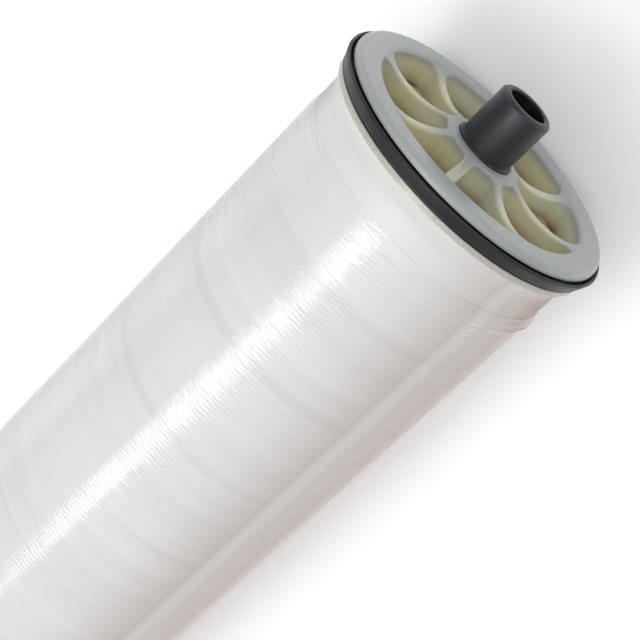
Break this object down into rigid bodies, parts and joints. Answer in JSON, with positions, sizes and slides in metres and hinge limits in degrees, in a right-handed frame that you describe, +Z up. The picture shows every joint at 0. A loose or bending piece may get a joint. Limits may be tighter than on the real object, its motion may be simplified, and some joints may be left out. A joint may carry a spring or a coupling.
{
  "type": "spiral-wound reverse osmosis membrane element",
  "caption": "Long wrapped cylinder of rolled membrane leaves round a permeate tube, with scooped-spoke end caps and a U-cup brine seal.",
  "frame": {"origin": "on the plane the element lies on, midway between the two spigot tips and under the axis", "axes": "+X along the permeate tube towards the feed end with the brine seal, +Z up"},
  "size_m": [1.016, 0.1038, 0.1038],
  "materials": {
    "tube_plastic": "satin charcoal extruded plastic",
    "cap_plastic": "pale grey-green moulded plastic, slightly translucent",
    "seal_rubber": "matt black moulded rubber",
    "carrier_cloth": "fine knitted polyester",
    "membrane_sheet": "tan coated sheet",
    "spacer_net": "extruded diamond net",
    "wrap_tape": "white tape",
    "wrap_film": "glossy clear film over white"
  },
  "bodies": {
    "root": {"permeate_tube": "tube_plastic", "feed_end_cap": "cap_plastic", "far_end_cap": "cap_plastic", "brine_seal": "seal_rubber", "core_carrier_wrap": "carrier_cloth", "membrane_leaf_1": "membrane_sheet", "membrane_leaf_2": "membrane_sheet", "membrane_leaf_3": "membrane_sheet", "membrane_leaf_4": "membrane_sheet", "feed_spacer_1": "spacer_net", "feed_spacer_2": "spacer_net", "feed_spacer_3": "spacer_net", "feed_spacer_4": "spacer_net", "roll_tape": "wrap_tape", "overwrap": "wrap_film", "outer_film": "wrap_film"}
  },
  "joints": []
}
